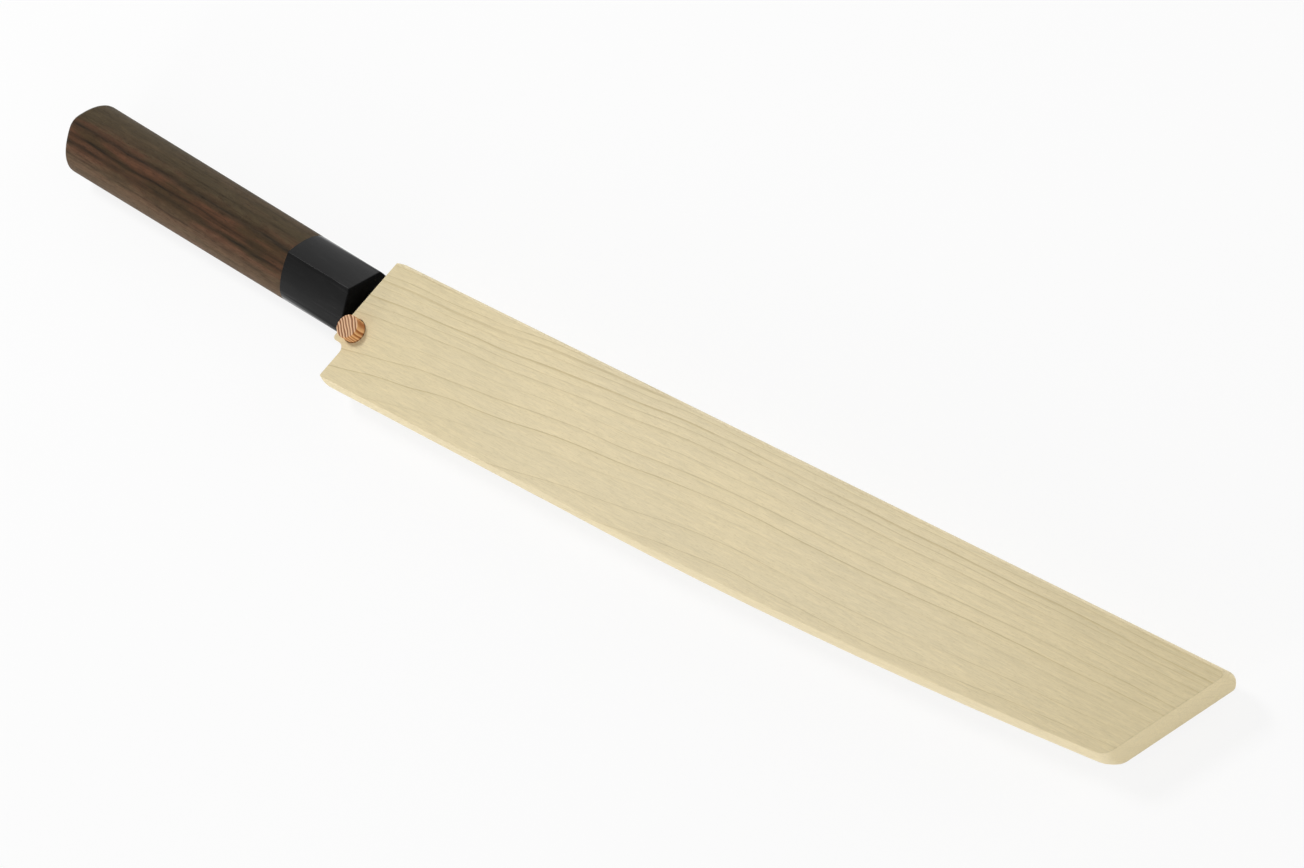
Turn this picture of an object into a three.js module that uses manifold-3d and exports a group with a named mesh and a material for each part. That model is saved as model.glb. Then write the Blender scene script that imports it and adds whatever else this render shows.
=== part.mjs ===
// A takohiki kitchen knife in its wooden sheath (saya), as it lies on a table.
// Units are millimetres. X runs from the handle to the tip, along the saya's spine edge.
// Y points to the spine side, the cutting edge lies on the -Y side, and Z is up.
import * as THREE from 'three';
import { mergeVertices } from 'three/addons/utils/BufferGeometryUtils.js';
import Module from 'manifold-3d';

const wasm = await Module();
wasm.setup();

// Driving dimensions of the saya, seen from above
const SAYA_LENGTH = 282.4;        // spine edge, from the mouth corner to the sharp tip corner
const SAYA_HEEL_HEIGHT = 43.5;    // spine edge to cutting-edge side at the mouth
const SAYA_MID_HEIGHT = 42.7;     // the same where the belly starts
const BELLY_START = 88;           // from here the edge side curves toward the spine
const BELLY_RADIUS = 1839;
const TIP_SLANT = THREE.MathUtils.degToRad(28.5);
const MOUTH_SLANT = THREE.MathUtils.degToRad(14);
const MOUTH_OFFSET = 0.97;        // mouth corner, measured on the spine edge
const EAR_END = 30.5;             // the lug beside the pin ends this far from the spine edge
const EAR_STEP = 5.7;             // the mouth steps back this much past the lug
const EAR_CORNER_RADIUS = 1.2;
const EAR_ROOT_RADIUS = 2.2;
const HEEL_CORNER_RADIUS = 0.4;
const TIP_EDGE_RADIUS = 5;
const TIP_SPINE_RADIUS = 1.2;

// Driving dimensions of the saya, across its thickness
const BOARD_THICKNESS = 5;        // each outer board
const SLOT_THICKNESS = 5;         // the core layer, and so the slot
const EDGE_BULGE = 1.3;           // how far the edge side swells past the flat faces
const SPINE_BULGE = 1.3;
const SPINE_WALL = 6;             // wood between the slot and the outside
const EDGE_WALL = 6;
const TIP_WALL = 8;
const GLUE_LINE = 0.3;            // left between core pieces that meet on a curve

// Driving dimensions of the saya pin
const PIN_DIAMETER = 7.6;
const PIN_PROUD = 4.2;            // stands this far above the saya
const PIN_CHAMFER = 0.4;
const PIN_CLEARANCE = 0.2;        // radial, in its hole
const PIN_FROM_SPINE = 25.4;
const PIN_WALL = 0.45;            // wood left between the pin hole and the mouth
const PIN_SLOT_GAP = 0.1;         // the pin's end stays this far above the slot

// Driving dimensions of the blade
const BLADE_THICKNESS = 3.3;      // at the heel
const BLADE_TIP_THICKNESS = 1.6;
const NOSE_RADIUS = 12;           // rounds the edge up into the slanted tip
const POINT_HEIGHT = 1;           // left blunt at the very point
const BEVEL_WIDTH = 14;           // ground bevel, from the cutting edge up
const BEVEL_THICKNESS_SHARE = 0.94;
const TIP_BEVEL_SHARE = 0.55;     // where the blade is too low for the full bevel
const EDGE_THICKNESS = 0.15;
const SPINE_CLEARANCE = 0.4;      // blade to slot, along the spine
const EDGE_CLEARANCE = 0.6;
const TIP_CLEARANCE = 0.8;
const HEEL_GAP = 1.4;             // heel to pin
const NECK_PIN_GAP = 1.1;         // neck to pin
const HEEL_ROOT_RADIUS = 2;
const MACHI_GAP = 5;              // exposed neck, ferrule to the step in the spine
const MACHI_RADIUS = 1.5;
const TANG_HEIGHT = 8.3;
const TANG_END_HEIGHT = 5.5;
const TANG_THICKNESS = 3;
const TANG_LENGTH = 95;           // inside the handle

// Driving dimensions of the handle
const HANDLE_LENGTH = 136;
const FERRULE_LENGTH = 27.6;
const HANDLE_TURN = THREE.MathUtils.degToRad(3.5);   // butt turned toward the spine side
const HANDLE_FROM_SPINE = 16.6;   // handle axis at the ferrule, from the saya's spine edge
const FERRULE_GAP = 4.46;         // ferrule to saya mouth, on the handle axis
const HANDLE_HEIGHT_FRONT = 22.6;
const HANDLE_HEIGHT_BUTT = 25.2;
const FACE_HALF_FRONT = 10.5;     // axis to the ridge, on the face side
const FACE_HALF_BUTT = 12.3;
const BACK_HALF = 9.8;            // axis to the plain back
const RIDGE_SHIFT = 1.5;          // the ridge lies this far to the spine side
const SPINE_FACET_SHARE = 5.2;    // half-length of each facet's ellipse, as a share of half the
const EDGE_FACET_SHARE = 3;       // handle's height: the larger, the sharper the ridge
const SPINE_SHOULDER = 2;         // the ferrule's facets are planed flat at its front, down to
const EDGE_SHOULDER = 3.4;        // shoulders this far above the axis
const RIDGE_WEAR_JOINT = 0.8;     // half-width of the grip's rubbed ridge, where it meets the ferrule
const RIDGE_WEAR_BUTT = 2.4;
const BUTT_RADIUS = 2.65;
const FERRULE_CHAMFER = 0.6;
const FERRULE_JOINT = 0.3;        // glue line between ferrule and grip
const FERRULE_FRONT_WALL = 5;
const BORE_DIAMETER = 13;
const DOWEL_CLEARANCE = 0.3;
const TANG_CLEARANCE = 0.4;
const BORE_END_GAP = 2;           // left past the dowel, at the bottom of the bore
const DOWEL_END_WALL = 3;         // dowel left past the tang's end

// Sampling
const FACET_STEPS = 16;
const BACK_STEPS = 22;
const ROUND_SIDES = 32;
const FILLET_STEPS = 5;
const BELLY_STEPS = 10;
const BUTT_STEPS = 5;
const SWELL_STEPS = 4;
const CORNER_PASSES = 30;
const CUT_OVERSHOOT = 1;          // cutting tools reach this far past the faces they open

// Derived heights of the layers; z = 0 is the middle of the slot
const slotTop = SLOT_THICKNESS / 2;
const sayaTop = slotTop + BOARD_THICKNESS;
const pinHoleRadius = PIN_DIAMETER / 2 + PIN_CLEARANCE;
const tipSpineRadius = Math.min(TIP_SPINE_RADIUS, SPINE_WALL / 2);

// Plan lines of the saya; inset is how far an outline lies inside the widest one
const mouthX = (y) => MOUTH_OFFSET + y * Math.tan(MOUTH_SLANT);
const lowerMouthX = (y) => mouthX(y) + EAR_STEP;
const tipX = (y, inset = 0) => SAYA_LENGTH + y * Math.tan(TIP_SLANT) - inset / Math.cos(TIP_SLANT);

function edgeY(x, inset = 0) {
  const past = Math.max(0, x - BELLY_START);
  const rise = BELLY_RADIUS - Math.sqrt(BELLY_RADIUS ** 2 - past ** 2);
  const straight = Math.min(x, BELLY_START) / BELLY_START;
  return rise - THREE.MathUtils.lerp(SAYA_HEEL_HEIGHT, SAYA_MID_HEIGHT, straight) + inset;
}

// Where the edge side, moved in by one inset, meets the tip end, moved in by another
function tipEdgeCorner(edgeInset, tipInset = 0) {
  let x = SAYA_LENGTH;
  for (let i = 0; i < CORNER_PASSES; i += 1) x = tipX(edgeY(x, edgeInset), tipInset);
  return new THREE.Vector2(x, edgeY(x, edgeInset));
}

// Points along the edge side between two places, with the straight part left straight
function edgeRun(fromX, toX, inset) {
  const start = Math.max(BELLY_START, fromX);
  const points = [];
  for (let i = 0; i <= BELLY_STEPS; i += 1) {
    const x = THREE.MathUtils.lerp(start, toX, i / BELLY_STEPS);
    points.push(new THREE.Vector2(x, edgeY(x, inset)));
  }
  return points;
}

const vec = (x, y) => new THREE.Vector2(x, y);

// A rounded corner between two neighbours
function fillet(before, corner, after, radius) {
  const a = before.clone().sub(corner).normalize();
  const b = after.clone().sub(corner).normalize();
  const half = Math.acos(THREE.MathUtils.clamp(a.dot(b), -1, 1)) / 2;
  const reach = radius / Math.tan(half);
  const centre = a.clone().add(b).normalize().multiplyScalar(radius / Math.sin(half)).add(corner);
  const from = a.multiplyScalar(reach).add(corner).sub(centre);
  const to = b.multiplyScalar(reach).add(corner).sub(centre);
  const sweep = Math.atan2(from.cross(to), from.dot(to));
  const points = [];
  for (let i = 0; i <= FILLET_STEPS; i += 1) {
    points.push(from.clone().rotateAround(vec(0, 0), (sweep * i) / FILLET_STEPS).add(centre));
  }
  return points;
}

// A closed mesh through loops of equal length, with both ends capped, facing outwards.
// The cap shape is a loop in its own plane, counterclockwise.
function loft(loops, capShape) {
  const count = loops[0].length;
  const positions = loops.flat().flatMap((p) => [p.x, p.y, p.z]);
  const faces = [];
  for (let k = 0; k + 1 < loops.length; k += 1) {
    for (let i = 0; i < count; i += 1) {
      const a = k * count + i;
      const b = k * count + ((i + 1) % count);
      faces.push(a, b, b + count, a, b + count, a + count);
    }
  }
  const last = (loops.length - 1) * count;
  for (const [a, b, c] of THREE.ShapeUtils.triangulateShape(capShape, [])) {
    faces.push(c, b, a, last + a, last + b, last + c);
  }
  const geometry = new THREE.BufferGeometry();
  geometry.setAttribute('position', new THREE.Float32BufferAttribute(positions, 3));
  geometry.setIndex(faces);
  return facingOut(geometry);
}

// Turns every face round if the mesh encloses a negative volume
function facingOut(geometry) {
  const p = geometry.attributes.position;
  const index = geometry.index.array;
  const [a, b, c] = [new THREE.Vector3(), new THREE.Vector3(), new THREE.Vector3()];
  let volume = 0;
  for (let i = 0; i < index.length; i += 3) {
    a.fromBufferAttribute(p, index[i]);
    b.fromBufferAttribute(p, index[i + 1]);
    c.fromBufferAttribute(p, index[i + 2]);
    volume += a.dot(b.cross(c));
  }
  if (volume < 0) {
    for (let i = 0; i < index.length; i += 3) {
      [index[i], index[i + 1]] = [index[i + 1], index[i]];
    }
  }
  return geometry;
}

// A body whose outline in plan may change from level to level
function layered(outlineAt, levels) {
  const outlines = levels.map(outlineAt);
  const loops = outlines.map((points, i) => points.map((p) => new THREE.Vector3(p.x, p.y, levels[i])));
  return loft(loops, outlines[0]);
}

const prism = (points, low, high) => layered(() => points, [low, high]);

function toSolid(geometry) {
  const bare = geometry.clone();
  bare.deleteAttribute('normal');
  bare.deleteAttribute('uv');
  const merged = mergeVertices(bare);
  const mesh = new wasm.Mesh({
    numProp: 3,
    vertProperties: new Float32Array(merged.attributes.position.array),
    triVerts: new Uint32Array(merged.index.array),
  });
  return new wasm.Manifold(mesh);
}

function toGeometry(solid) {
  const mesh = solid.getMesh();
  const geometry = new THREE.BufferGeometry();
  geometry.setAttribute('position', new THREE.Float32BufferAttribute(mesh.vertProperties, 3));
  geometry.setIndex(new THREE.Uint32BufferAttribute(mesh.triVerts, 1));
  return geometry;
}

const cut = (body, ...tools) =>
  toGeometry(tools.reduce((solid, tool) => solid.subtract(toSolid(tool)), toSolid(body)));
const join = (body, ...others) =>
  toGeometry(others.reduce((solid, other) => solid.add(toSolid(other)), toSolid(body)));

function box(low, high) {
  const size = high.clone().sub(low);
  const centre = low.clone().add(high).multiplyScalar(0.5);
  return new THREE.BoxGeometry(size.x, size.y, size.z).translate(centre.x, centre.y, centre.z);
}

// A round bar along X, between two places
function barAlongX(radius, fromX, toX) {
  return new THREE.CylinderGeometry(radius, radius, toX - fromX, ROUND_SIDES)
    .rotateZ(Math.PI / 2)
    .translate((fromX + toX) / 2, 0, 0);
}

// The saya's sides are shallow arcs, widest at mid thickness
const swell = (z, bulge) => bulge * (z / sayaTop) ** 2;
const spineY = (z) => -swell(z, SPINE_BULGE);

// The saya's full outline at one height
function sayaOutline(z) {
  const edgeInset = swell(z, EDGE_BULGE);
  const mouthTop = vec(mouthX(spineY(z)), spineY(z));
  const earCorner = vec(mouthX(-EAR_END), -EAR_END);
  const earRoot = vec(lowerMouthX(-EAR_END), -EAR_END);
  const heelX = lowerMouthX(edgeY(0, edgeInset));
  const heel = vec(heelX, edgeY(heelX, edgeInset));
  const tipEdge = tipEdgeCorner(edgeInset);
  const tipSpine = vec(tipX(spineY(z)), spineY(z));
  const run = edgeRun(BELLY_START, tipEdge.x - TIP_EDGE_RADIUS, edgeInset);
  return [
    mouthTop,
    ...fillet(mouthTop, earCorner, earRoot, EAR_CORNER_RADIUS),
    ...fillet(earCorner, earRoot, heel, EAR_ROOT_RADIUS),
    ...fillet(earRoot, heel, run[0], HEEL_CORNER_RADIUS),
    ...run,
    ...fillet(run.at(-1), tipEdge, tipSpine, TIP_EDGE_RADIUS),
    ...fillet(tipEdge, tipSpine, mouthTop, tipSpineRadius),
  ];
}

const pinCentre = vec(
  mouthX(-PIN_FROM_SPINE) + (pinHoleRadius + PIN_WALL) / Math.cos(MOUTH_SLANT),
  -PIN_FROM_SPINE,
);

const levels = (low, high) =>
  Array.from({ length: SWELL_STEPS + 1 }, (_, i) => THREE.MathUtils.lerp(low, high, i / SWELL_STEPS));
const boardLevels = levels(slotTop, sayaTop);
const coreLevels = levels(-slotTop, slotTop);

function frontBoard() {
  const depth = BOARD_THICKNESS + 2 * CUT_OVERSHOOT;
  const hole = new THREE.CylinderGeometry(pinHoleRadius, pinHoleRadius, depth, ROUND_SIDES)
    .rotateX(Math.PI / 2)
    .translate(pinCentre.x, pinCentre.y, (slotTop + sayaTop) / 2);
  return cut(layered(sayaOutline, boardLevels), hole);
}

function backBoard() {
  return layered(sayaOutline, boardLevels.map((z) => -z));
}

function spineStrip() {
  return layered((z) => {
    const mouthTop = vec(mouthX(spineY(z)), spineY(z));
    const slotMouth = vec(mouthX(-SPINE_WALL), -SPINE_WALL);
    const slotEnd = vec(tipX(-SPINE_WALL), -SPINE_WALL);
    const tipSpine = vec(tipX(spineY(z)), spineY(z));
    return [mouthTop, slotMouth, slotEnd, ...fillet(slotEnd, tipSpine, mouthTop, tipSpineRadius)];
  }, coreLevels);
}

function edgeStrip() {
  return layered((z) => {
    const inset = swell(z, EDGE_BULGE);
    const slotMouthX = lowerMouthX(edgeY(0, EDGE_WALL));
    const slotMouth = vec(slotMouthX, edgeY(slotMouthX, EDGE_WALL));
    const heelX = lowerMouthX(edgeY(0, inset));
    const heel = vec(heelX, edgeY(heelX, inset));
    const tipEdge = tipEdgeCorner(inset);
    const innerEnd = tipEdgeCorner(EDGE_WALL);
    const run = edgeRun(BELLY_START, tipEdge.x - TIP_EDGE_RADIUS, inset);
    const back = edgeRun(BELLY_START, innerEnd.x, EDGE_WALL).reverse();
    return [
      slotMouth,
      ...fillet(slotMouth, heel, run[0], HEEL_CORNER_RADIUS),
      ...run,
      ...fillet(run.at(-1), tipEdge, innerEnd, TIP_EDGE_RADIUS),
      ...back,
    ];
  }, coreLevels);
}

function tipBlock() {
  const inset = EDGE_WALL + GLUE_LINE;
  const top = -SPINE_WALL;
  const slotCorner = tipEdgeCorner(inset, TIP_WALL);
  const outerCorner = tipEdgeCorner(inset);
  const outline = [
    vec(tipX(top, TIP_WALL), top),
    slotCorner,
    ...edgeRun(slotCorner.x, outerCorner.x, inset).slice(1),
    vec(tipX(top), top),
  ];
  return prism(outline, -slotTop, slotTop);
}

function sayaPin() {
  const radius = PIN_DIAMETER / 2;
  const low = slotTop + PIN_SLOT_GAP;
  const high = sayaTop + PIN_PROUD;
  const profile = [
    vec(0, low),
    vec(radius - PIN_CHAMFER, low),
    vec(radius, low + PIN_CHAMFER),
    vec(radius, high - PIN_CHAMFER),
    vec(radius - PIN_CHAMFER, high),
    vec(0, high),
  ];
  return new THREE.LatheGeometry(profile, ROUND_SIDES)
    .rotateX(Math.PI / 2)
    .translate(pinCentre.x, pinCentre.y, 0);
}

// The handle's own frame: x = 0 at the ferrule's front, the butt on the -x side
const handlePlace = new THREE.Matrix4()
  .makeRotationZ(-HANDLE_TURN)
  .setPosition(mouthX(-HANDLE_FROM_SPINE) - FERRULE_GAP, -HANDLE_FROM_SPINE, 0);

// The D-shaped section: two elliptical facets meet in a ridge over a plain oval back.
// Toward the front the facets turn flat.
function handleSection(distance, inset) {
  const { lerp } = THREE.MathUtils;
  const along = distance / HANDLE_LENGTH;
  const halfHeight = lerp(HANDLE_HEIGHT_FRONT, HANDLE_HEIGHT_BUTT, along) / 2;
  const faceHalf = lerp(FACE_HALF_FRONT, FACE_HALF_BUTT, along);
  const flatness = Math.max(0, 1 - distance / FERRULE_LENGTH);
  const facet = (side, share, shoulder) => {
    const reach = share * halfHeight;
    const centre = side * (halfHeight - reach);
    const ridgeAngle = Math.acos((side * (RIDGE_SHIFT - centre)) / reach);
    const depth = faceHalf / Math.sin(ridgeAngle);
    return Array.from({ length: FACET_STEPS }, (_, i) => {
      const angle = ridgeAngle * (1 - i / FACET_STEPS);
      const up = depth * Math.sin(angle);
      const rounded = centre + side * reach * Math.cos(angle);
      const fallen = Math.min(1, (faceHalf - up) / (faceHalf - shoulder));
      const planed = lerp(RIDGE_SHIFT, side * halfHeight, fallen);
      return vec(lerp(rounded, planed, flatness), up);
    });
  };
  const back = Array.from({ length: BACK_STEPS + 1 }, (_, i) => {
    const angle = Math.PI * (1 + i / BACK_STEPS);
    return vec(halfHeight * Math.cos(angle), BACK_HALF * Math.sin(angle));
  });
  const edgeFacet = facet(-1, EDGE_FACET_SHARE, EDGE_SHOULDER);
  const spineFacet = facet(1, SPINE_FACET_SHARE, SPINE_SHOULDER).slice(1).reverse();
  const shrink = vec(1 - inset / halfHeight, 1 - inset / ((faceHalf + BACK_HALF) / 2));
  return [...edgeFacet, ...back, ...spineFacet].map((p) => p.multiply(shrink));
}

// Rubs the ridge of a section round, over a half-width to each side of it
function rubRidge(section, halfWidth) {
  const [ridge, edgeSide] = section;
  const spineSide = section.at(-1);
  const slope = (p) => (ridge.y - p.y) / Math.abs(ridge.x - p.x);
  const fall = (slope(edgeSide) + slope(spineSide)) / 4;
  return section.map((p) => {
    const near = halfWidth - Math.abs(p.x - ridge.x);
    return p.y > 0 && near > 0 ? vec(p.x, p.y - (fall * near ** 2) / halfWidth) : p;
  });
}

// A length of handle through stations, each a distance from the front, an inset and a ridge's wear
function handleLength(stations) {
  const sections = stations.map(([distance, inset, wear]) => rubRidge(handleSection(distance, inset), wear));
  const loops = sections.map((points, i) => points.map((p) => new THREE.Vector3(-stations[i][0], p.x, p.y)));
  return loft(loops, sections[0]);
}

const dowelRadius = BORE_DIAMETER / 2 - DOWEL_CLEARANCE;
const dowelEnd = -(TANG_LENGTH + TANG_CLEARANCE + DOWEL_END_WALL);
const tangSlotHalfHeight = TANG_HEIGHT / 2 + TANG_CLEARANCE;
const tangSlotHalfThickness = TANG_THICKNESS / 2 + TANG_CLEARANCE;
const tangSlot = (fromX, toX) =>
  box(
    new THREE.Vector3(fromX, -tangSlotHalfHeight, -tangSlotHalfThickness),
    new THREE.Vector3(toX, tangSlotHalfHeight, tangSlotHalfThickness),
  );

function ferrule() {
  const body = handleLength([[0, FERRULE_CHAMFER, 0], [FERRULE_CHAMFER, 0, 0], [FERRULE_LENGTH, 0, 0]]);
  const bore = barAlongX(BORE_DIAMETER / 2, -FERRULE_LENGTH - CUT_OVERSHOOT, -FERRULE_FRONT_WALL);
  return cut(body, bore, tangSlot(-FERRULE_FRONT_WALL - CUT_OVERSHOOT, CUT_OVERSHOOT));
}

function grip() {
  const stations = [[FERRULE_LENGTH + FERRULE_JOINT, 0, RIDGE_WEAR_JOINT]];
  for (let i = 0; i <= BUTT_STEPS; i += 1) {
    const turn = (Math.PI / 2) * (i / BUTT_STEPS);
    const distance = HANDLE_LENGTH - BUTT_RADIUS * (1 - Math.sin(turn));
    stations.push([distance, BUTT_RADIUS * (1 - Math.cos(turn)), RIDGE_WEAR_BUTT]);
  }
  const bore = barAlongX(BORE_DIAMETER / 2, dowelEnd - BORE_END_GAP, CUT_OVERSHOOT - FERRULE_LENGTH);
  return cut(handleLength(stations), bore);
}

function tangDowel() {
  const front = -FERRULE_FRONT_WALL - FERRULE_JOINT;
  const mortise = tangSlot(-TANG_LENGTH - TANG_CLEARANCE, front + CUT_OVERSHOOT);
  return cut(barAlongX(dowelRadius, dowelEnd, front), mortise);
}

// The blade lies in the slot with its flat back face down
const bladeTop = -(SPINE_WALL + SPINE_CLEARANCE);
const bladeEdgeInset = EDGE_WALL + EDGE_CLEARANCE;
const bladeTipInset = TIP_WALL + TIP_CLEARANCE;
const heelBehindMouth = PIN_WALL + 2 * pinHoleRadius - PIN_CLEARANCE + HEEL_GAP;
const heelX = (y) => mouthX(y) + heelBehindMouth / Math.cos(MOUTH_SLANT);
const bladeBack = -BLADE_THICKNESS / 2;

function bladeBody() {
  const heelEdge = vec(heelX(edgeY(0, bladeEdgeInset)), edgeY(0, bladeEdgeInset));
  const heelSpine = vec(heelX(bladeTop), bladeTop);
  const corner = tipEdgeCorner(bladeEdgeInset, bladeTipInset);
  const point = vec(tipX(bladeTop, bladeTipInset), bladeTop);
  const nose = point.clone().lerp(corner, POINT_HEIGHT / point.distanceTo(corner));
  const run = edgeRun(BELLY_START, corner.x - NOSE_RADIUS, bladeEdgeInset);
  const edge = [heelEdge, ...run, ...fillet(run.at(-1), corner, nose, NOSE_RADIUS), nose];
  const walked = [0];
  edge.slice(1).forEach((e, i) => walked.push(walked[i] + e.distanceTo(edge[i])));
  const loops = edge.map((e, i) => {
    const share = walked[i] / walked.at(-1);
    const spine = heelSpine.clone().lerp(point, share);
    const bevel = Math.min(BEVEL_WIDTH / e.distanceTo(spine), TIP_BEVEL_SHARE);
    const shinogi = e.clone().lerp(spine, bevel);
    const thickness = THREE.MathUtils.lerp(BLADE_THICKNESS, BLADE_TIP_THICKNESS, share);
    return [
      new THREE.Vector3(spine.x, spine.y, bladeBack),
      new THREE.Vector3(spine.x, spine.y, bladeBack + thickness),
      new THREE.Vector3(shinogi.x, shinogi.y, bladeBack + BEVEL_THICKNESS_SHARE * thickness),
      new THREE.Vector3(e.x, e.y, bladeBack + EDGE_THICKNESS),
      new THREE.Vector3(e.x, e.y, bladeBack),
    ];
  });
  return loft(loops, loops[0].map((p) => vec(p.y, p.z)));
}

// Neck and tang in one piece with the blade; the tang follows the handle's axis
function neckAndTang() {
  const onHandle = (x, y) => {
    const p = new THREE.Vector3(x, y, 0).applyMatrix4(handlePlace);
    return vec(p.x, p.y);
  };
  const neckBottom = -(PIN_FROM_SPINE - PIN_DIAMETER / 2 - NECK_PIN_GAP);
  const tangTop = onHandle(0, TANG_HEIGHT / 2);
  const tangBottom = onHandle(0, -TANG_HEIGHT / 2);
  const machiX = onHandle(MACHI_GAP, 0).x;
  const machiStep = vec(machiX, onHandle(MACHI_GAP, TANG_HEIGHT / 2).y);
  const machiTop = vec(machiX, bladeTop);
  const heelRoot = vec(heelX(neckBottom), neckBottom);
  const rootBottom = neckBottom - 2 * HEEL_ROOT_RADIUS;
  const belowRoot = vec(heelX(rootBottom), rootBottom);
  const insideBottom = vec(heelX(bladeTop) + HEEL_ROOT_RADIUS, rootBottom);
  const insideTop = vec(heelX(bladeTop) + HEEL_ROOT_RADIUS, bladeTop);
  const neckFront = vec(machiX, neckBottom);
  const outline = [
    insideTop,
    machiTop,
    ...fillet(machiTop, machiStep, tangTop, MACHI_RADIUS),
    tangTop,
    onHandle(-TANG_LENGTH, TANG_END_HEIGHT / 2),
    onHandle(-TANG_LENGTH, -TANG_END_HEIGHT / 2),
    tangBottom,
    neckFront,
    ...fillet(neckFront, heelRoot, belowRoot, HEEL_ROOT_RADIUS),
    belowRoot,
    insideBottom,
  ];
  return prism(outline, -TANG_THICKNESS / 2, TANG_THICKNESS / 2);
}

const blade = () => join(bladeBody(), neckAndTang());

// Finishes
const finish = (color, roughness, metalness = 0) =>
  new THREE.MeshStandardMaterial({ color, roughness, metalness });
const magnolia = finish(0xdbcdaa, 0.7);
const rosewood = finish(0x4a3626, 0.45);
const horn = finish(0x2c2c2c, 0.35);
const pinWood = finish(0xb9855a, 0.6);
const steel = finish(0xb8bbbd, 0.3, 1);

function piece(name, geometry, material) {
  const mesh = new THREE.Mesh(geometry, material);
  mesh.name = name;
  return mesh;
}

const handle = new THREE.Group();
handle.applyMatrix4(handlePlace);
handle.add(
  piece('ferrule', ferrule(), horn),
  piece('grip', grip(), rosewood),
  piece('tang_dowel', tangDowel(), magnolia),
);

const saya = new THREE.Group();
saya.add(
  piece('saya_front_board', frontBoard(), magnolia),
  piece('saya_back_board', backBoard(), magnolia),
  piece('saya_spine_strip', spineStrip(), magnolia),
  piece('saya_edge_strip', edgeStrip(), magnolia),
  piece('saya_tip_block', tipBlock(), magnolia),
  piece('saya_pin', sayaPin(), pinWood),
);

// The part's origin is the middle of its footprint, on the surface it lies on
const knife = new THREE.Group();
knife.add(handle, saya, piece('blade', blade(), steel));
knife.updateMatrixWorld(true);
const bounds = new THREE.Box3().setFromObject(knife, true);
const middle = bounds.getCenter(new THREE.Vector3());
knife.position.set(-middle.x, -middle.y, -bounds.min.z);
knife.updateMatrixWorld(true);

export default knife;
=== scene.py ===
import math

import bpy
from mathutils import Matrix, Vector


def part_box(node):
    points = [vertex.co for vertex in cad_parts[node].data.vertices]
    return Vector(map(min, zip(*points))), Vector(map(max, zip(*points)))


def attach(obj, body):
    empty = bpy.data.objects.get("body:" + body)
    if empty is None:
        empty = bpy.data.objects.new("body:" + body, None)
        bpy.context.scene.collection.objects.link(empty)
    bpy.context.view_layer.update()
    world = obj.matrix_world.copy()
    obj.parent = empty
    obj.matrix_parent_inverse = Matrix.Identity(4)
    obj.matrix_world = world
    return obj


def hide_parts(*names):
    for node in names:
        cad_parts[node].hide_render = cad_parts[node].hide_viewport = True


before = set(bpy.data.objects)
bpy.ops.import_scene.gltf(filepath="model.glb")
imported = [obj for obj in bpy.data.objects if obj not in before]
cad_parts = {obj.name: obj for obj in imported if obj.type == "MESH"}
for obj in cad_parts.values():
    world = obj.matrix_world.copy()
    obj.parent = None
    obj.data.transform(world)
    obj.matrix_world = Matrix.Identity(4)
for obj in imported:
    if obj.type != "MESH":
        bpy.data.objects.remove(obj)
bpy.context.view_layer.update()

# Places on the frame that the finishes and the camera are measured from
MM = 0.001
SAYA_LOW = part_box("saya_front_board")[0]
SAYA_MOUTH = Vector((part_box("saya_spine_strip")[0].x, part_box("saya_spine_strip")[1].y, 0))
SLOT_LOW, SLOT_HIGH = (corner.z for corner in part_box("saya_spine_strip"))
SLOT_MIDDLE = (SLOT_LOW + SLOT_HIGH) / 2
TIP_SLANT = math.radians(28.5)           # the saya's end, leaning back from the spine
GLUE_LINE = 0.29 * MM                    # room that the frame leaves in glued joints, closed here
HANDLE_TURN = math.radians(-3.5)         # the handle's axis, turned about Z from the saya's
FERRULE_MIDDLE = sum(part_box("ferrule"), Vector()) / 2
PIN_MIDDLE = sum(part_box("saya_pin"), Vector()) / 2
MOUTH_REACH = 11.5 * MM                  # the saya's mouth and lug, whose edges stay square

# Rounded-over edges, in millimetres, and the flats of the whittled pin
BOARD_EASING = 0.3
RIDGE_EASING = 0.25
PIN_EASING = 0.4
PIN_FLATS = 15

# The saya's wood, in millimetres: half its thickness, where its growth lines turn to follow the spine,
# and where painted shade darkens and yellows its faces towards both ends for light that falls off there,
# all but the first measured from its mouth
SAYA_HALF = 7.5
GRAIN_TURN = 152
SHADED_MOUTH_SPAN = (0, 100)
SHADED_TIP_SPAN = (195, 285)

# Dark veins in the handle, each millimetres from its axis towards the spine side, and a strength
ROSEWOOD_VEINS = ((9.2, 0.25), (5.4, 0.3), (1.4, 0.9), (-2.6, 1.0), (-5.1, 0.85), (-8.6, 0.3))

# Camera, as the photograph was taken: its picture is turned
CAMERA_PLACE = SAYA_MOUTH + Vector((0.44623, -0.05908, 0.59235))
CAMERA_AZIMUTH = math.radians(82.166)
CAMERA_ELEVATION = math.radians(59.315)
CAMERA_ROLL = math.radians(-54.042)
CAMERA_LENS = 66.26                      # millimetres on a 36 mm sensor

# The studio: its light by the height of a direction, and the floor's grey and share of plain white
HORIZON_HEIGHT, HORIZON_LIGHT = 0.2, 1.2
ZENITH_HEIGHT, ZENITH_LIGHT = 0.9, 0.16
FLOOR_SIZE = 40
FLOOR_GREY = 0.86
FLOOR_WHITE = 0.85


def srgb(red, green, blue):
    """A colour as it is seen on a screen, from 0 to 255, as linear light."""
    def linear(value):
        share = value / 255
        return share / 12.92 if share <= 0.04045 else ((share + 0.055) / 1.055) ** 2.4
    return (linear(red), linear(green), linear(blue), 1.0)


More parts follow.
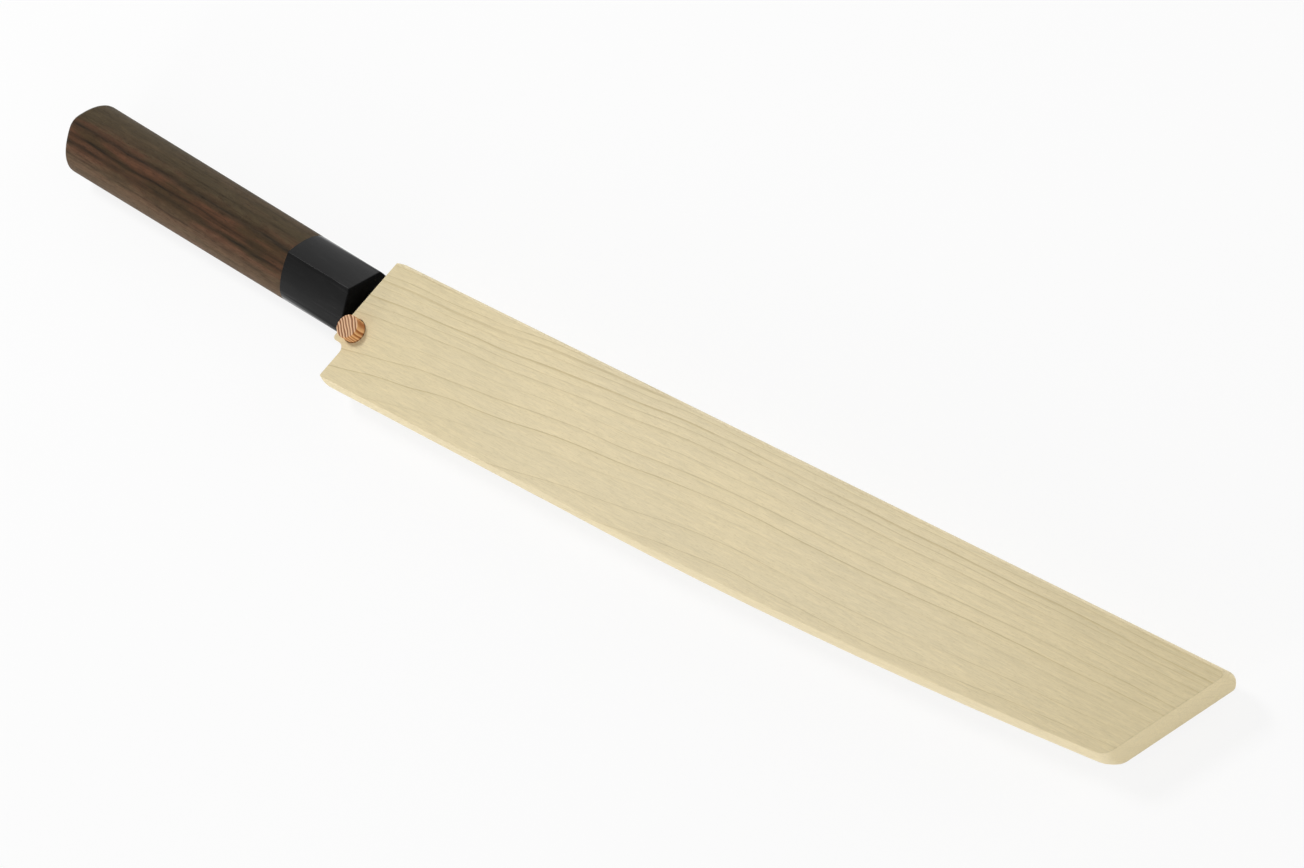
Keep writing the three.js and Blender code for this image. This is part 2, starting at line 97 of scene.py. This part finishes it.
class Signal:
    """An output of a finish's nodes. Arithmetic on it adds Math nodes."""

    def __init__(self, finish, socket):
        self.finish = finish
        self.socket = socket

    def math(self, operation, *values):
        return self.finish.node("ShaderNodeMath", {"operation": operation}, dict(enumerate(values)))

    def __add__(self, other):
        return self.math("ADD", self, other)

    def __sub__(self, other):
        return self.math("SUBTRACT", self, other)

    def __rsub__(self, other):
        return self.math("SUBTRACT", other, self)

    def __mul__(self, other):
        return self.math("MULTIPLY", self, other)

    def __truediv__(self, other):
        return self.math("DIVIDE", self, other)

    def __pow__(self, other):
        return self.math("POWER", self, other)

    def __abs__(self):
        return self.math("ABSOLUTE", self)

    __radd__ = __add__
    __rmul__ = __mul__

    def fraction(self):
        return self.math("FRACT", self)

    def whole(self):
        return self.math("FLOOR", self)

    def at_least(self, low):
        return self.math("MAXIMUM", self, low)

    def rise(self, low, high):
        """0 below low, 1 above high, smooth between them."""
        return self.finish.node(
            "ShaderNodeMapRange",
            {"interpolation_type": "SMOOTHSTEP"},
            {"Value": self, "From Min": low, "From Max": high},
        )


class Finish:
    """One material: a Principled shader and the nodes that feed it."""

    def __init__(self, name, **constants):
        self.material = bpy.data.materials.new(name)
        self.material.use_nodes = True
        self.tree = self.material.node_tree
        self.tree.nodes.clear()
        self.shader = self.tree.nodes.new("ShaderNodeBsdfPrincipled")
        output = self.tree.nodes.new("ShaderNodeOutputMaterial")
        self.tree.links.new(self.shader.outputs[0], output.inputs["Surface"])
        for socket, value in constants.items():
            self.shader.inputs[socket.replace("_", " ")].default_value = value

    def node(self, kind, settings=None, inputs=None, output=0):
        """Adds one node, sets it up, fills or links its inputs, and returns one of its outputs."""
        made = self.tree.nodes.new(kind)
        for key, value in (settings or {}).items():
            setattr(made, key, value)
        for key, value in (inputs or {}).items():
            if isinstance(value, Signal):
                self.tree.links.new(value.socket, made.inputs[key])
            else:
                made.inputs[key].default_value = value
        return Signal(self, made.outputs[output])

    def feed(self, **links):
        for socket, signal in links.items():
            self.tree.links.new(signal.socket, self.shader.inputs[socket.replace("_", " ")])

    def place(self, origin, turn=0.0):
        """Object coordinates as three signals in millimetres, from an origin and turned about Z."""
        raw = self.node("ShaderNodeTexCoord", output="Object")
        turned = self.node(
            "ShaderNodeMapping",
            {"vector_type": "TEXTURE"},
            {"Vector": raw, "Location": origin, "Rotation": (0, 0, turn), "Scale": (MM, MM, MM)},
        )
        return self.parts(turned)

    def parts(self, vector):
        split = self.node("ShaderNodeSeparateXYZ", inputs={"Vector": vector}).socket.node
        return [Signal(self, socket) for socket in split.outputs]

    def normal(self):
        return self.parts(self.node("ShaderNodeNewGeometry", output="Normal"))

    def vector(self, x, y, z):
        return self.node("ShaderNodeCombineXYZ", inputs={0: x, 1: y, 2: z})

    def noise(self, x, y, z, detail=2.0, roughness=0.5):
        return self.node("ShaderNodeTexNoise", inputs={
            "Vector": self.vector(x, y, z),
            "Scale": 1.0,
            "Detail": detail,
            "Roughness": roughness,
        })

    def wander(self, along, seed=0.0):
        """Noise along one line."""
        return self.node("ShaderNodeTexNoise", {"noise_dimensions": "1D"}, {
            "W": along + seed,
            "Scale": 1.0,
            "Detail": 1.0,
        })

    def mix(self, share, first, second, blend="MIX"):
        return self.node(
            "ShaderNodeMix",
            {"data_type": "RGBA", "blend_type": blend},
            {0: share, 6: first, 7: second},
            output=2,
        )

    def brighten(self, colour, factor):
        """A colour times a grey value."""
        grey = self.vector(factor, factor, factor)
        return self.mix(1.0, colour, grey, "MULTIPLY")

    def bump(self, height, depth):
        """Height from 0 to 1 as a relief of a depth in millimetres."""
        return self.node("ShaderNodeBump", inputs={"Height": height, "Distance": depth * MM})


def magnolia(name, seed=0.0):
    """Pale, close-grained wood of the saya. Growth lines sweep in from the heel, then follow the spine."""
    wood = Finish(name, IOR=1.45, Specular_IOR_Level=0.25)
    along, down, up = wood.place(SAYA_MOUTH + Vector((0, 0, SLOT_MIDDLE)))
    across = down * -1
    heelward = (1 - along / GRAIN_TURN).at_least(0.0) ** 1.45
    tipward = (along / GRAIN_TURN - 1).at_least(0.0) ** 2
    stretch = 1 + heelward * 0.63
    sway = wood.noise(along * 0.014, across * 0.04, up * 0.04 + seed, detail=2.0) * 4.0 - 2.0
    swept = (across - heelward * 5.8) / stretch
    from_pith = swept + across ** 2 * tipward * 0.0137 + sway + (SAYA_HALF - up) * 0.5
    reach = (from_pith + 8).at_least(0.4)
    even_rings = reach.math("LOGARITHM", reach, math.e) * 6.2
    rings = even_rings + wood.wander(even_rings * 0.9, seed) * 0.8
    past_line = rings.fraction() * reach * stretch * 0.16
    strength = wood.wander(rings.whole() * 5.7, seed + 3.0).rise(0.25, 0.7) * 0.7 + 0.3
    patchy = wood.noise(along * 0.03, across * 0.3, up * 0.3, detail=1.0).rise(0.15, 0.5)
    off_arris = 1 - (1 - abs(across).rise(0.6, 2.0)) * abs(up).rise(5.5, 7.0)
    spaced = reach.rise(1.0, 5.0) * off_arris * strength
    line = (1 - past_line.rise(0.08, 0.5)) * spaced * patchy
    late = (1 - past_line.rise(0.2, 2.5)) * spaced
    fibres = wood.noise(along * 0.3, across * 5.0, up * 5.0, detail=3.0, roughness=0.65)
    grain = wood.noise(along * 0.12, across * 1.7, up * 1.7, detail=3.0, roughness=0.6)
    flecks = wood.noise(along * 0.7, across * 8.0, up * 8.0, detail=1.0).rise(0.6, 0.74)
    cloud = wood.noise(along * 0.02, across * 0.09, up * 0.09 + seed, detail=2.0)
    pale = wood.mix(cloud.rise(0.3, 0.7), srgb(226, 211, 174), srgb(222, 208, 173))
    facing = wood.normal()
    end_grain = abs(facing[0]).rise(0.6, 0.95)
    ringed = wood.mix((late * 0.08 + line * 0.46) * (1 - end_grain * 0.7), pale, srgb(172, 150, 100))
    flecked = wood.mix(flecks * 0.32, ringed, srgb(184, 161, 116))
    # painted shade: the top and bottom faces are darkened and yellowed near the mouth, and more near the
    # tip, for light that falls off towards the ends
    near_ends = along.rise(*SHADED_TIP_SPAN) + 0.6 - along.rise(*SHADED_MOUTH_SPAN) * 0.6
    painted_end_shade = near_ends * abs(facing[2]).rise(0.5, 0.9)
    yellowed = wood.mix(end_grain * 0.35 + painted_end_shade * 0.35, flecked, srgb(214, 197, 150))
    arris = abs(up).rise(6.9, 7.1) * (1 - abs(facing[2]).rise(0.93, 0.995)) * facing[0].rise(0.3, 0.8)
    tone = 0.74 + fibres * 0.36 + grain * 0.24 - arris * 0.06 - painted_end_shade * 0.07
    wood.feed(
        Base_Color=wood.brighten(yellowed, tone),
        Roughness=0.6 + fibres * 0.14 - line * 0.06,
        Normal=wood.bump(fibres * 0.6 + line * 0.3 - flecks * 0.5, 0.05),
    )
    return wood.material


def rosewood(name):
    """Dark handle wood: near-black veins between reddish and olive browns, along the handle."""
    wood = Finish(name, IOR=1.47, Specular_IOR_Level=0.14)
    along, out, up = wood.place(FERRULE_MIDDLE, HANDLE_TURN)
    mottle = wood.noise(along * 0.25, out * 0.8, up * 0.8, detail=3.0)
    drift = wood.noise(along * 0.015, out * 0.05, up * 0.05, detail=1.0) * 4.0 - 2.0
    ripple = wood.noise(along * 0.06, out * 0.12, up * 0.12, detail=3.0) * 1.6 - 0.8
    place = out + drift + ripple
    streaks = wood.noise(along * 0.05, out * 1.5, up * 1.5, detail=4.0, roughness=0.62)
    broken = wood.noise(along * 0.04, out * 0.5, up * 0.5, detail=2.0).rise(0.3, 0.55)
    veins = broken * 0
    shade = broken * 0
    for height, strength in ROSEWOOD_VEINS:
        away = abs(place - height)
        veins = veins.at_least((1 - away.rise(0.0, 0.75)) * strength)
        shade = shade.at_least((1 - away.rise(0.3, 1.8)) * strength)
    fibrous = broken * (0.35 + streaks.rise(0.35, 0.6) * 0.65)
    pores = wood.noise(along * 0.3, out * 5.5, up * 5.5, detail=1.0).rise(0.6, 0.72)
    speckle = wood.noise(along * 1.1, out * 3.0, up * 3.0, detail=3.0, roughness=0.65)
    blush = wood.noise(along * 0.04, out * 0.25, up * 0.25, detail=2.0).rise(0.4, 0.62)
    olive = (out + mottle * 6).rise(4.0, 9.0)
    # painted light: the handle's edge side, lit from below, is mixed towards a lighter tan
    tan = (mottle * 4 - out).rise(7.0, 12.0)
    ground = wood.mix(blush, srgb(74, 56, 36), srgb(93, 62, 43))
    mellow = wood.mix(olive * 0.8, ground, srgb(78, 67, 47))
    warmed = wood.mix(tan * 0.7, mellow, srgb(106, 86, 65))
    streaked = wood.mix(streaks.rise(0.45, 0.8) * 0.5 + shade * 0.5, warmed, srgb(42, 31, 14))
    veined = wood.mix(veins * fibrous * 0.9, streaked, srgb(22, 17, 6))
    porous = wood.mix(pores * 0.4, veined, srgb(24, 16, 9))
    wood.feed(
        Base_Color=wood.brighten(porous, 0.42 + mottle * 0.54 + speckle * 0.42),
        Roughness=0.5 + streaks * 0.16 + pores * 0.1,
        Normal=wood.bump(streaks * 0.5 - pores, 0.04),
    )
    return wood.material


def horn(name, ridge):
    """Polished black horn with faint grey threads along it, rubbed paler on its ridge, partly as wear and
    partly as a painted highlight.
    """
    shell = Finish(name, IOR=1.5, Specular_IOR_Level=0.23)
    along, out, up = shell.place(FERRULE_MIDDLE, HANDLE_TURN)
    threads = shell.noise(along * 0.05, out * 2.2, up * 2.2, detail=4.0, roughness=0.6)
    cloud = shell.noise(along * 0.06, out * 0.2, up * 0.2, detail=2.0)
    deep = shell.mix(cloud.rise(0.35, 0.7), srgb(9, 9, 9), srgb(15, 15, 15))
    threaded = shell.mix(threads.rise(0.5, 0.75) * 0.6, deep, srgb(36, 36, 36))
    # partly rubbed wear, partly a painted highlight: a thin paler line along the ridge's top
    rubbed_wear_and_highlight = (1 - abs(out - ridge).rise(0.05, 0.25)) * up.rise(6.0, 8.0) * threads.rise(0.3, 0.6)
    shell.feed(
        Base_Color=shell.mix(rubbed_wear_and_highlight * 0.15, threaded, srgb(74, 74, 74)),
        Roughness=0.12 + threads * 0.1 + rubbed_wear_and_highlight * 0.2,
        Normal=shell.bump(threads, 0.004),
    )
    return shell.material


def horn_end(name):
    """The ferrule's sawn front, left dull, with the horn's layers across it; its darker, dull finish is
    partly painted shade.
    """
    shell = Finish(name, IOR=1.5, Specular_IOR_Level=0.05)
    along, out, up = shell.place(FERRULE_MIDDLE, HANDLE_TURN)
    layers = shell.noise(along * 0.3, out * 0.5, up * 2.5, detail=3.0)
    shell.feed(
        Base_Color=shell.mix(layers.rise(0.35, 0.65), srgb(5, 5, 5), srgb(14, 14, 14)),
        Roughness=0.6 + layers * 0.3,
        Normal=shell.bump(layers, 0.03),
    )
    return shell.material


def pin_wood(name):
    """Resinous softwood peg: close brown rings on pale pinkish wood, upright through the peg."""
    wood = Finish(name, IOR=1.45, Specular_IOR_Level=0.25)
    side, back, up = wood.place(PIN_MIDDLE, math.radians(45))
    sway = wood.noise(side * 0.25, back * 0.16, up * 0.1, detail=1.0)
    rings = side + sway * 1.6
    share = rings.fraction()
    line = share.rise(0.1, 0.7) * (1 - share.rise(0.84, 1.0))
    strength = wood.wander(rings.whole() * 2.3).rise(0.2, 0.6) * 0.4 + 0.6
    fibres = wood.noise(side * 6.0, back * 6.0, up * 0.5, detail=3.0)
    upright = abs(wood.normal()[2]).rise(0.5, 0.9)
    pale = wood.mix(upright, srgb(224, 176, 122), srgb(230, 190, 152))
    brown = wood.mix(upright, srgb(160, 96, 50), srgb(128, 78, 46))
    ringed = wood.mix(line * strength, pale, brown)
    wood.feed(
        Base_Color=wood.brighten(ringed, 0.86 + fibres * 0.28),
        Roughness=0.62 + fibres * 0.15,
        Normal=wood.bump(fibres - line * 0.6, 0.06),
    )
    return wood.material


def steel(name, bevel=None):
    """Ground steel with fine lines along the blade. A bevel, given by its lowest and highest place in
    millimetres from the slot's middle, is cloudy above its hard edge layer."""
    metal = Finish(name, Metallic=1.0)
    along, out, up = metal.place(Vector((0, 0, SLOT_MIDDLE)))
    scratches = metal.noise(along * 0.03, out * 7.0, up * 7.0, detail=2.0)
    cloud = metal.noise(along * 0.05, out * 0.3, up * 0.3, detail=3.0)
    if bevel:
        low, high = bevel
        height = (up - low) / (high - low)
        border = 0.42 + metal.noise(along * 0.09, out * 0.1, up * 0.1, detail=3.0) * 0.16
        soft = (height - border).rise(-0.015, 0.015)
        tone = metal.mix(soft, srgb(206, 208, 210), srgb(158, 160, 162))
        rough = 0.16 + soft * 0.2 + cloud * 0.08
    else:
        tone = metal.mix(cloud.rise(0.3, 0.7), srgb(186, 188, 190), srgb(180, 182, 185))
        rough = 0.24 + scratches * 0.08
    metal.feed(
        Base_Color=tone,
        Roughness=rough,
        Normal=metal.bump(scratches, 0.0015),
    )
    return metal.material


def alone(piece):
    """Makes one object the only one selected, and active."""
    bpy.ops.object.select_all(action="DESELECT")
    piece.select_set(True)
    bpy.context.view_layer.objects.active = piece


def copy_of(node, name):
    """A piece with a node's shape, its loose triangles merged into whole faces."""
    piece = bpy.data.objects.new(name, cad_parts[node].data.copy())
    bpy.context.scene.collection.objects.link(piece)
    piece.data.materials.clear()
    alone(piece)
    bpy.ops.object.mode_set(mode="EDIT")
    bpy.ops.mesh.select_all(action="SELECT")
    bpy.ops.mesh.remove_doubles(threshold=0.002 * MM)
    bpy.ops.mesh.dissolve_limited(angle_limit=math.radians(0.2))
    bpy.ops.object.mode_set(mode="OBJECT")
    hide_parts(node)
    return piece


def sharp_edges(piece, angle):
    """The edges where two faces meet at more than an angle, as edge and middle."""
    mesh = piece.data
    normals = {}
    for face in mesh.polygons:
        for key in face.edge_keys:
            normals.setdefault(key, []).append(face.normal.copy())
    found = []
    for edge in mesh.edges:
        pair = normals.get(edge.key, [])
        if len(pair) == 2 and pair[0].angle(pair[1]) > angle:
            middle = (mesh.vertices[edge.vertices[0]].co + mesh.vertices[edge.vertices[1]].co) / 2
            found.append((edge, middle))
    return found


def ease(piece, width, segments=3, angle=math.radians(24)):
    """Rounds over the sharp edges. The width, in millimetres, is a function of an edge's middle."""
    wide = [(edge.index, width(middle)) for edge, middle in sharp_edges(piece, angle)]
    widest = max(value for _, value in wide)
    weights = piece.data.attributes.new("bevel_weight_edge", "FLOAT", "EDGE")
    for index, value in wide:
        weights.data[index].value = value / widest
    rounding = piece.modifiers.new("eased edges", "BEVEL")
    rounding.limit_method = "WEIGHT"
    rounding.width = widest * MM
    rounding.segments = segments
    rounding.use_clamp_overlap = False
    rounding.loop_slide = False
    alone(piece)
    bpy.ops.object.modifier_apply(modifier=rounding.name)
    piece.data.attributes.remove(piece.data.attributes["bevel_weight_edge"])


def finished(piece, body, slot, *materials):
    """Smooth shading that keeps flat faces flat, the finish, and the body that it rides on."""
    alone(piece)
    bpy.ops.object.shade_smooth_by_angle(angle=math.radians(32))
    weighted = piece.modifiers.new("flat faces", "WEIGHTED_NORMAL")
    weighted.keep_sharp = True
    bpy.ops.object.modifier_apply(modifier=weighted.name)
    for material in materials:
        piece.data.materials.append(material)
    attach(piece, body)


def make_saya():
    """Two boards and three core pieces; their outer edges are eased, their mouth and glued faces left."""
    def easing(middle):
        glued = SLOT_LOW - 0.1 * MM < middle.z < SLOT_HIGH + 0.1 * MM
        at_mouth = middle.x < SAYA_LOW.x + MOUTH_REACH
        return 0 if glued or at_mouth else BOARD_EASING

    face = magnolia("magnolia_face")
    core = magnolia("magnolia_core", seed=11.0)
    for node in ("saya_front_board", "saya_back_board"):
        board = copy_of(node, node + "_wood")
        ease(board, easing)
        finished(board, "saya", "magnolia", face)
    for node in ("saya_spine_strip", "saya_edge_strip"):
        strip = copy_of(node, node + "_wood")
        finished(strip, "saya", "magnolia", core)
    block = copy_of("saya_tip_block", "saya_tip_block_wood")
    low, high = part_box("saya_tip_block")
    for vertex in block.data.vertices:
        if vertex.co.y < (low.y + high.y) / 2:
            vertex.co += Vector((-math.tan(TIP_SLANT), -1, 0)) * GLUE_LINE
    finished(block, "saya", "magnolia", core)


def make_pin():
    """A whittled peg: many narrow flats, with eased corners and rims."""
    low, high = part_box("saya_pin")
    radius = (high.x - low.x) / 2
    bpy.ops.object.select_all(action="DESELECT")
    bpy.ops.mesh.primitive_cylinder_add(
        vertices=PIN_FLATS, radius=radius, depth=high.z - low.z, end_fill_type="NGON", location=PIN_MIDDLE)
    peg = bpy.context.active_object
    peg.name = "saya_pin_peg"
    bpy.ops.object.transform_apply(location=True, rotation=True, scale=True)
    ease(peg, lambda middle: PIN_EASING, segments=4, angle=math.radians(10))
    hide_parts("saya_pin")
    finished(peg, "pin", "pin_wood", pin_wood("pin_wood"))


def handle_distance(point):
    """How far a point lies from the ferrule's middle, along the handle's axis."""
    return (point - FERRULE_MIDDLE).dot(Vector((math.cos(HANDLE_TURN), math.sin(HANDLE_TURN), 0)))


def handle_offset(point):
    """How far a point lies from the ferrule's middle, square to the handle's axis, towards the spine."""
    return (point - FERRULE_MIDDLE).dot(Vector((-math.sin(HANDLE_TURN), math.cos(HANDLE_TURN), 0)))


def make_handle():
    """The ferrule, its ridge eased, meets the grip with no gap."""
    ferrule = copy_of("ferrule", "ferrule_horn")
    back = min(handle_distance(v.co) for v in ferrule.data.vertices)
    front = max(handle_distance(v.co) for v in ferrule.data.vertices)
    axis = Vector((math.cos(HANDLE_TURN), math.sin(HANDLE_TURN), 0))
    for vertex in ferrule.data.vertices:
        if handle_distance(vertex.co) < back + 0.01 * MM:
            vertex.co -= axis * GLUE_LINE
    ease(ferrule, lambda m: RIDGE_EASING if back + MM < handle_distance(m) < front - 0.3 * MM else 0)
    peak = max((v.co for v in ferrule.data.vertices), key=lambda place: place.z)
    ridge = handle_offset(peak)
    finished(ferrule, "knife", "horn", horn("horn", ridge / MM), horn_end("horn_end"))
    # the front and its chamfer take the dull end finish, partly painted shade
    for face in ferrule.data.polygons:
        face.material_index = 1 if face.normal.dot(axis) > 0.5 else 0

    grip = copy_of("grip", "grip_wood")
    finished(grip, "knife", "rosewood", rosewood("rosewood"))

    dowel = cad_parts["tang_dowel"]
    dowel.data.materials.clear()
    dowel.data.materials.append(magnolia("dowel_wood", seed=23.0))


def make_blade():
    """The blade keeps its ground planes; the bevel's faces get the cloudy finish."""
    blade = copy_of("blade", "blade_steel")
    low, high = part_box("blade")
    edge_height = (low.z - SLOT_MIDDLE) / MM
    bevel_top = edge_height + 0.85 * (high.z - low.z) / MM
    flat = steel("steel_flat")
    bevel = steel("steel_bevel", (edge_height, bevel_top))
    finished(blade, "knife", "steel", flat, bevel)
    for face in blade.data.polygons:
        sloped = 0.9 < face.normal.z < 0.9995 and face.normal.y < -0.05
        face.material_index = 1 if sloped else 0


def make_camera():
    """The photograph's camera, turned about its own line of sight."""
    data = bpy.data.cameras.new("camera")
    data.lens = CAMERA_LENS
    camera = bpy.data.objects.new("camera", data)
    bpy.context.scene.collection.objects.link(camera)
    level = math.cos(CAMERA_ELEVATION)
    back = Vector((
        math.sin(CAMERA_AZIMUTH) * level,
        -math.cos(CAMERA_AZIMUTH) * level,
        math.sin(CAMERA_ELEVATION),
    ))
    right = Vector((math.cos(CAMERA_AZIMUTH), math.sin(CAMERA_AZIMUTH), 0))
    upright = Matrix((right, back.cross(right), back)).transposed()
    turned = upright @ Matrix.Rotation(CAMERA_ROLL, 3, "Z")
    camera.matrix_world = Matrix.Translation(CAMERA_PLACE) @ turned.to_4x4()
    bpy.context.scene.camera = camera


def seen_as_white(tree):
    """1 for rays that should see the plain background: from the camera, a gloss or a glass."""
    path = tree.nodes.new("ShaderNodeLightPath")
    reflected = tree.nodes.new("ShaderNodeMath")
    reflected.operation = "MAXIMUM"
    tree.links.new(path.outputs["Is Glossy Ray"], reflected.inputs[0])
    tree.links.new(path.outputs["Is Transmission Ray"], reflected.inputs[1])
    either = tree.nodes.new("ShaderNodeMath")
    either.operation = "MAXIMUM"
    tree.links.new(path.outputs["Is Camera Ray"], either.inputs[0])
    tree.links.new(reflected.outputs[0], either.inputs[1])
    return either.outputs[0]


def make_floor():
    """A pale floor that the camera sees nearly white, with the object's soft shadow."""
    bpy.ops.object.select_all(action="DESELECT")
    bpy.ops.mesh.primitive_plane_add(size=FLOOR_SIZE, location=(0, 0, -0.1 * MM))
    floor = bpy.context.active_object
    floor.name = "floor"
    material = bpy.data.materials.new("floor_white")
    material.use_nodes = True
    tree = material.node_tree
    tree.nodes.clear()
    plain = tree.nodes.new("ShaderNodeBsdfDiffuse")
    plain.inputs["Color"].default_value = (FLOOR_GREY, FLOOR_GREY, FLOOR_GREY, 1)
    white = tree.nodes.new("ShaderNodeEmission")
    share = tree.nodes.new("ShaderNodeMath")
    share.operation = "MULTIPLY"
    tree.links.new(seen_as_white(tree), share.inputs[0])
    share.inputs[1].default_value = FLOOR_WHITE
    mixed = tree.nodes.new("ShaderNodeMixShader")
    tree.links.new(share.outputs[0], mixed.inputs["Fac"])
    tree.links.new(plain.outputs[0], mixed.inputs[1])
    tree.links.new(white.outputs[0], mixed.inputs[2])
    output = tree.nodes.new("ShaderNodeOutputMaterial")
    tree.links.new(mixed.outputs[0], output.inputs["Surface"])
    floor.data.materials.append(material)


def make_world():
    """Studio light, white round the horizon and darker overhead."""
    world = bpy.data.worlds.new("studio")
    bpy.context.scene.world = world
    world.use_nodes = True
    tree = world.node_tree
    tree.nodes.clear()
    direction = tree.nodes.new("ShaderNodeTexCoord")
    split = tree.nodes.new("ShaderNodeSeparateXYZ")
    tree.links.new(direction.outputs["Generated"], split.inputs[0])
    fall = tree.nodes.new("ShaderNodeMapRange")
    fall.interpolation_type = "SMOOTHSTEP"
    tree.links.new(split.outputs["Z"], fall.inputs["Value"])
    fall.inputs["From Min"].default_value = HORIZON_HEIGHT
    fall.inputs["From Max"].default_value = ZENITH_HEIGHT
    fall.inputs["To Min"].default_value = HORIZON_LIGHT
    fall.inputs["To Max"].default_value = ZENITH_LIGHT
    studio = tree.nodes.new("ShaderNodeBackground")
    tree.links.new(fall.outputs[0], studio.inputs["Strength"])
    output = tree.nodes.new("ShaderNodeOutputWorld")
    tree.links.new(studio.outputs[0], output.inputs["Surface"])


def softbox(name, direction, distance, size, power):
    """A square area lamp that looks at the object's middle."""
    data = bpy.data.lights.new(name, "AREA")
    data.size = size
    data.energy = power
    lamp = bpy.data.objects.new(name, data)
    bpy.context.scene.collection.objects.link(lamp)
    away = Vector(direction).normalized()
    lamp.location = away * distance
    lamp.rotation_euler = away.to_track_quat("Z", "Y").to_euler()


def make_lights():
    """A key lamp, and three fills for the walls that it leaves dim."""
    softbox("key_above_butt", (-0.42, 0.2, 0.85), distance=1.15, size=0.26, power=6.5)
    softbox("fill_on_edge_side", (-0.2, -1.0, 0.2), distance=1.6, size=0.6, power=9.4)
    softbox("fill_on_tip", (0.9, -0.45, 0.25), distance=1.6, size=0.6, power=2.0)
    softbox("fill_on_spine_side", (0.8, 0.7, 0.3), distance=1.6, size=0.6, power=4.0)


bpy.context.scene.view_settings.view_transform = "Standard"
make_camera()
make_world()
make_floor()
make_lights()
make_saya()
make_pin()
make_handle()
make_blade()
